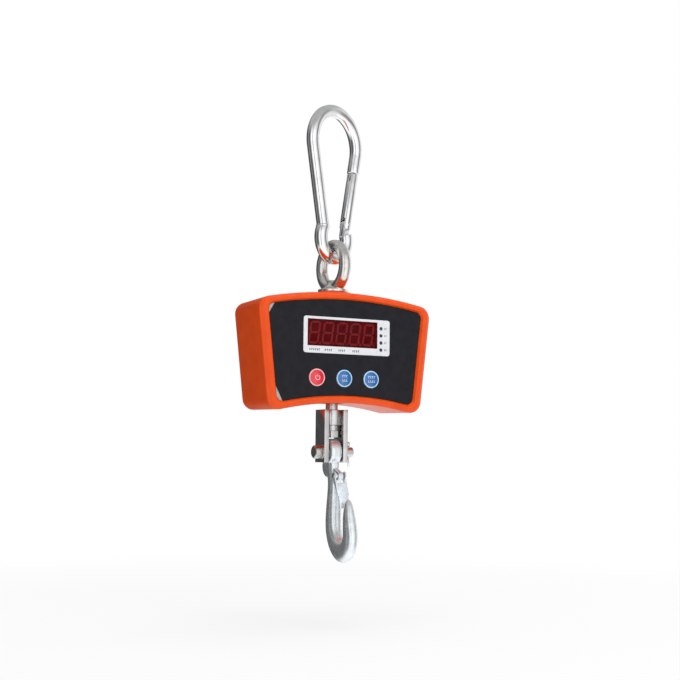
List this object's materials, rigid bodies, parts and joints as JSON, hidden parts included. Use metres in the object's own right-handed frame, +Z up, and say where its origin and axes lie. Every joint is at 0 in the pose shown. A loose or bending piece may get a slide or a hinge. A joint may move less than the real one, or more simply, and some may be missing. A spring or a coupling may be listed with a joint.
{
  "type": "crane scale",
  "caption": "Small hanging crane scale: spring-gate snap hook, eye bolt, fan-shaped orange casing with red digit window and three buttons, swivelling fork and latched eye hook.",
  "frame": {"origin": "inside top of the snap hook, where it hangs", "axes": "+Z up, +X to the right of the display, -Y out of the display"},
  "size_m": [0.1836, 0.0847, 0.447],
  "materials": {
    "zinc_steel": "bright zinc plated",
    "spring_steel": "oiled",
    "forged_steel": "zinc plated, satin",
    "orange_paint": "semi-gloss",
    "rubber_black": "matt",
    "membrane": "satin film",
    "bezel": "satin",
    "red_filter": "transparent red filter",
    "led_block": "matt",
    "lamp_black": "gloss",
    "button_red": "gloss",
    "button_blue": "gloss",
    "circuit_board": "solder mask",
    "component_black": "matt",
    "brass": "plain",
    "cell_alloy": "anodised",
    "battery_wrap": "shrink wrap",
    "tray_plastic": "matt",
    "chrome": "polished",
    "hook_steel": "galvanised forging"
  },
  "bodies": {
    "snap_hook": {"snap_hook_frame": "zinc_steel", "gate_rivet": "zinc_steel"},
    "gate": {"snap_gate": "zinc_steel", "gate_spring": "spring_steel"},
    "scale": {"eye_bolt": "forged_steel", "front_frame": "orange_paint", "rear_housing": "orange_paint", "case_seal": "rubber_black", "case_screws": "zinc_steel", "membrane_panel": "membrane", "display_bezel": "bezel", "display_window": "red_filter", "digit_module": "led_block", "indicator_lamps": "lamp_black", "button_switches": "component_black", "display_board": "circuit_board", "main_board": "circuit_board", "board_pillars": "brass", "buzzer": "component_black", "load_cell": "cell_alloy", "swivel_rod": "chrome", "rod_locknut": "zinc_steel", "thrust_bush": "chrome", "swivel_nut": "chrome", "battery": "battery_wrap", "battery_tray": "tray_plastic", "battery_door": "orange_paint", "door_screws": "zinc_steel", "charging_socket": "component_black", "socket_cap": "rubber_black"},
    "power_button": {"power_button": "button_red"},
    "hold_button": {"hold_button": "button_blue"},
    "tare_button": {"tare_button": "button_blue"},
    "fork": {"swivel_fork": "chrome", "cross_bolt": "chrome", "split_pin": "zinc_steel"},
    "hook": {"hook_body": "hook_steel", "latch_pin": "zinc_steel", "latch_spring": "spring_steel"},
    "latch": {"hook_latch": "zinc_steel"}
  },
  "joints": [
    {"name": "gate_hinge", "type": "hinge", "parent": "snap_hook", "child": "gate", "pos_m": [0.0165, 0.00735, -0.1051], "axis": [0.4067, -0.9135, 0], "range_deg": [0, 25], "stiffness_Nm_per_rad": 0.05, "springref_deg": -34.38},
    {"name": "scale_swing", "type": "hinge", "parent": "snap_hook", "child": "scale", "pos_m": [0, 0, -0.141], "axis": [0.9135, 0.4067, 0], "range_deg": [-60, 60]},
    {"name": "power_press", "type": "slide", "parent": "scale", "child": "power_button", "axis": [0, 1, 0], "range_m": [0, 0.0008], "stiffness_N_per_m": 900, "springref_m": -0.0006},
    {"name": "hold_press", "type": "slide", "parent": "scale", "child": "hold_button", "axis": [0, 1, 0], "range_m": [0, 0.0008], "stiffness_N_per_m": 900, "springref_m": -0.0006},
    {"name": "tare_press", "type": "slide", "parent": "scale", "child": "tare_button", "axis": [0, 1, 0], "range_m": [0, 0.0008], "stiffness_N_per_m": 900, "springref_m": -0.0006},
    {"name": "fork_swivel", "type": "hinge", "parent": "scale", "child": "fork", "pos_m": [0, 0, -0.289], "axis": [0, 0, 1], "continuous": true},
    {"name": "hook_tilt", "type": "hinge", "parent": "fork", "child": "hook", "pos_m": [0, 0, -0.3298], "axis": [1, 0, 0], "range_deg": [-70, 95]},
    {"name": "latch_hinge", "type": "hinge", "parent": "hook", "child": "latch", "pos_m": [0, -0.01722, -0.35221], "axis": [1, 0, 0], "range_deg": [0, 25], "stiffness_Nm_per_rad": 0.02, "springref_deg": -34.38}
  ]
}
